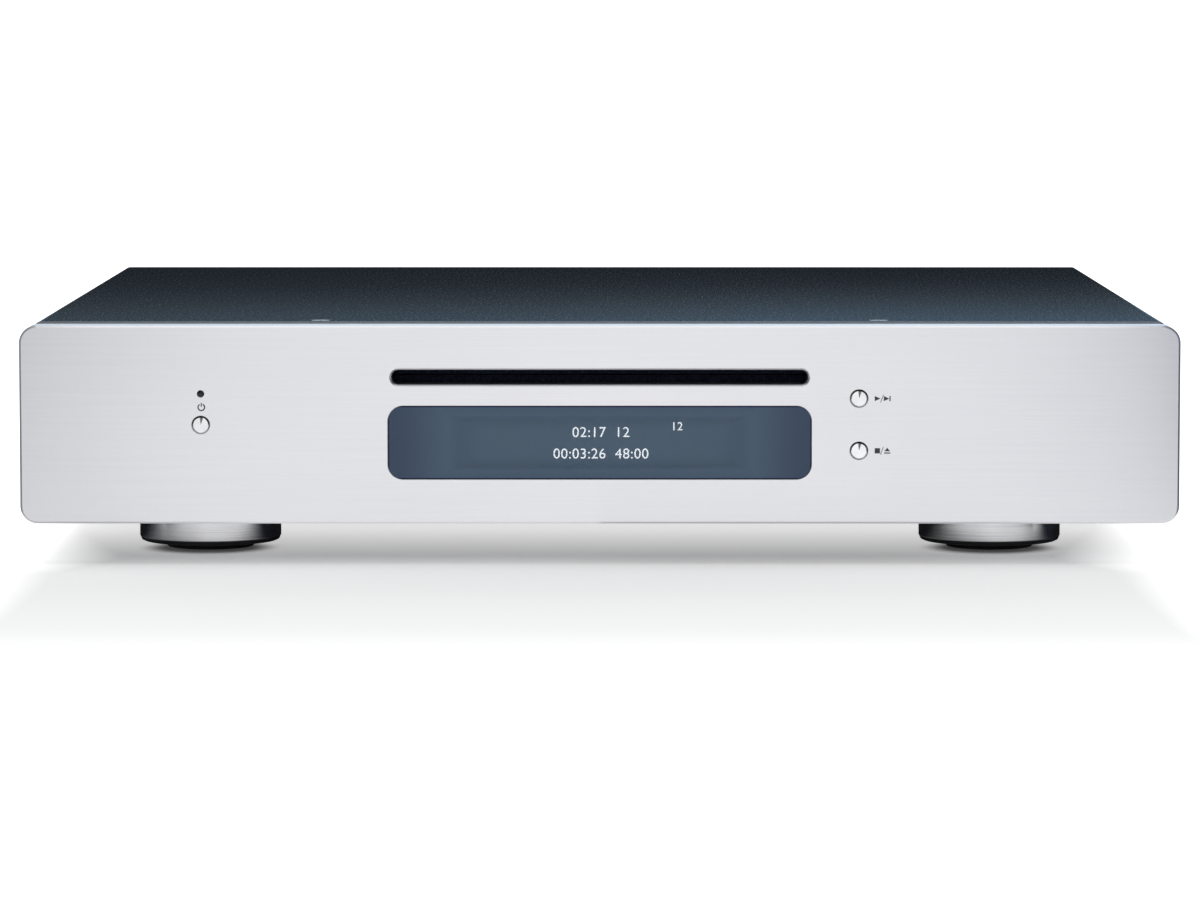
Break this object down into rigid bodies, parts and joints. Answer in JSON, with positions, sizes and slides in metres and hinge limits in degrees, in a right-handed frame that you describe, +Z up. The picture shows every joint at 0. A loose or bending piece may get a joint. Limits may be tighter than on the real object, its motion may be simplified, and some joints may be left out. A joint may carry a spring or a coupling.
{
  "type": "slot loading disc player",
  "caption": "Compact disc player with a brushed front panel, a front disc slot over a display window, small round push buttons and round metal feet under a folded cover.",
  "frame": {"origin": "middle of the footprint, on the surface that the foot pads stand on", "axes": "+X to the right as the viewer faces the front panel, +Y from the front panel to the rear, +Z up"},
  "size_m": [0.35, 0.33, 0.0728],
  "materials": {
    "anodised_panel": "fine horizontal brushing, clear anodised",
    "cover_paint": "fine satin slate powder coat on folded steel",
    "rear_paint": "satin dark grey powder coat",
    "zinc_steel": "bright zinc plated sheet",
    "turned_aluminium": "spun face, clear anodised",
    "foot_metal": "turned and bright plated",
    "pad_rubber": "matte moulded",
    "lip_felt": "short black pile on film",
    "tinted_acrylic": "polished blue-grey tinted acrylic",
    "display_glass": "dark glass over a black frame",
    "smoked_acrylic": "smoked diffuse light pipe, dark while the lamp is off",
    "plated_screws": "bright nickel plate",
    "zinc_screws": "bright zinc",
    "black_plastic": "fine moulded texture",
    "grey_plastic": "glass filled moulding",
    "white_plastic": "natural acetal",
    "gold_plate": "flash gold plated",
    "nickel_steel": "ground and nickel plated",
    "motor_can": "drawn plated can",
    "green_laminate": "solder resist over copper",
    "tan_laminate": "paper laminate",
    "winding_tape": "ferrite core with yellow tape",
    "capacitor_sleeve": "shrink sleeve",
    "black_anodised": "black anodised extrusion",
    "pickup_metal": "die cast",
    "ribbon_film": "polyester film"
  },
  "bodies": {
    "case": {"front_panel": "anodised_panel", "display_window": "tinted_acrylic", "display_module": "display_glass", "front_board": "green_laminate", "front_subframe": "zinc_steel", "switch_bodies": "black_plastic", "light_pipe": "smoked_acrylic", "slot_frame": "black_plastic", "dust_lips": "lip_felt", "top_cover": "cover_paint", "case_screws": "plated_screws", "chassis_tray": "zinc_steel", "rear_panel": "rear_paint", "feet": "foot_metal", "foot_pads": "pad_rubber", "foot_screws": "zinc_screws", "mains_inlet": "black_plastic", "inlet_pins": "gold_plate", "mains_switch": "black_plastic", "phono_block": "black_plastic", "phono_shells": "gold_plate", "video_socket": "nickel_steel", "optical_socket": "black_plastic", "power_board": "tan_laminate", "transformer": "winding_tape", "power_capacitors": "capacitor_sleeve", "heatsink": "black_anodised", "main_board": "green_laminate", "main_board_parts": "black_plastic", "board_standoffs": "zinc_screws", "board_screws": "zinc_screws", "loader_frame": "zinc_steel", "loader_top_plate": "zinc_steel", "disc_guide": "black_plastic", "loading_motor": "motor_can", "loading_belt": "pad_rubber", "clamp_motor": "motor_can", "traverse_frame": "grey_plastic", "traverse_dampers": "pad_rubber", "guide_rods": "nickel_steel", "sled_motor": "motor_can", "spindle_motor": "motor_can", "ribbon_cables": "ribbon_film"},
    "standby_button": {"standby_button": "turned_aluminium"},
    "play_button": {"play_button": "turned_aluminium"},
    "stop_button": {"stop_button": "turned_aluminium"},
    "mains_rocker": {"mains_rocker": "black_plastic"},
    "roller_bracket": {"roller_bracket": "grey_plastic"},
    "loading_roller": {"roller_shaft": "nickel_steel", "roller_sleeves": "pad_rubber", "roller_gear": "white_plastic"},
    "motor_pulley": {"motor_pulley": "white_plastic"},
    "pulley_gear": {"pulley_gear": "white_plastic"},
    "cam_slide": {"cam_slide": "white_plastic"},
    "clamp_pinion": {"clamp_pinion": "white_plastic"},
    "pickup": {"optical_pickup": "pickup_metal"},
    "leadscrew": {"leadscrew": "nickel_steel"},
    "turntable": {"turntable": "grey_plastic"},
    "clamp_arm": {"clamp_arm": "grey_plastic"},
    "clamp_puck": {"clamp_puck": "white_plastic"}
  },
  "joints": [
    {"name": "standby_press", "type": "slide", "parent": "case", "child": "standby_button", "axis": [0, 1, 0], "range_m": [0, 0.0006], "stiffness_N_per_m": 900},
    {"name": "play_press", "type": "slide", "parent": "case", "child": "play_button", "axis": [0, 1, 0], "range_m": [0, 0.0006], "stiffness_N_per_m": 900},
    {"name": "stop_press", "type": "slide", "parent": "case", "child": "stop_button", "axis": [0, 1, 0], "range_m": [0, 0.0006], "stiffness_N_per_m": 900},
    {"name": "mains_rocker_tilt", "type": "hinge", "parent": "case", "child": "mains_rocker", "pos_m": [-0.096, 0.1498, 0.043], "axis": [1, 0, 0], "range_deg": [0, 16]},
    {"name": "roller_bracket_swing", "type": "hinge", "parent": "case", "child": "roller_bracket", "pos_m": [0, -0.1, 0.042], "axis": [1, 0, 0], "range_deg": [0, 7.01]},
    {"name": "loading_roller_spin", "type": "hinge", "parent": "roller_bracket", "child": "loading_roller", "pos_m": [0, -0.126, 0.0511], "axis": [1, 0, 0], "continuous": true},
    {"name": "pulley_gear_spin", "type": "hinge", "parent": "case", "child": "pulley_gear", "pos_m": [0.0702, -0.11976, 0.05942], "axis": [1, 0, 0], "continuous": true},
    {"name": "motor_pulley_spin", "type": "hinge", "parent": "case", "child": "motor_pulley", "pos_m": [0.07, -0.128, 0.0364], "axis": [1, 0, 0], "continuous": true},
    {"name": "cam_slide_travel", "type": "slide", "parent": "case", "child": "cam_slide", "axis": [0, 1, 0], "range_m": [0, 0.01]},
    {"name": "clamp_pinion_turn", "type": "hinge", "parent": "case", "child": "clamp_pinion", "pos_m": [-0.0742, -0.07, 0.0357], "axis": [1, 0, 0], "range_deg": [-119.5, 0]},
    {"name": "pickup_travel", "type": "slide", "parent": "case", "child": "pickup", "axis": [0, 1, 0], "range_m": [0, 0.034]},
    {"name": "leadscrew_turn", "type": "hinge", "parent": "case", "child": "leadscrew", "pos_m": [0.032, -0.02, 0.046], "axis": [0, 1, 0], "continuous": true},
    {"name": "turntable_spin", "type": "hinge", "parent": "case", "child": "turntable", "pos_m": [0, -0.062, 0.05], "axis": [0, 0, 1], "continuous": true},
    {"name": "clamp_arm_swing", "type": "hinge", "parent": "case", "child": "clamp_arm", "pos_m": [0, 0.006, 0.058], "axis": [1, 0, 0], "range_deg": [0, 3.41]},
    {"name": "clamp_puck_spin", "type": "hinge", "parent": "clamp_arm", "child": "clamp_puck", "pos_m": [0, -0.062, 0.06004], "axis": [0, 0.0593, 0.9982], "continuous": true}
  ],
  "couplings": [
    {"joint": "pulley_gear_spin", "follows": "loading_roller_spin", "ratio": -1},
    {"joint": "motor_pulley_spin", "follows": "loading_roller_spin", "ratio": -2},
    {"joint": "roller_bracket_swing", "follows": "cam_slide_travel", "rad_per_m": 12.217},
    {"joint": "clamp_arm_swing", "follows": "cam_slide_travel", "rad_per_m": 5.9341},
    {"joint": "clamp_pinion_turn", "follows": "cam_slide_travel", "rad_per_m": -208.33},
    {"joint": "leadscrew_turn", "follows": "pickup_travel", "rad_per_m": -2094.4}
  ]
}
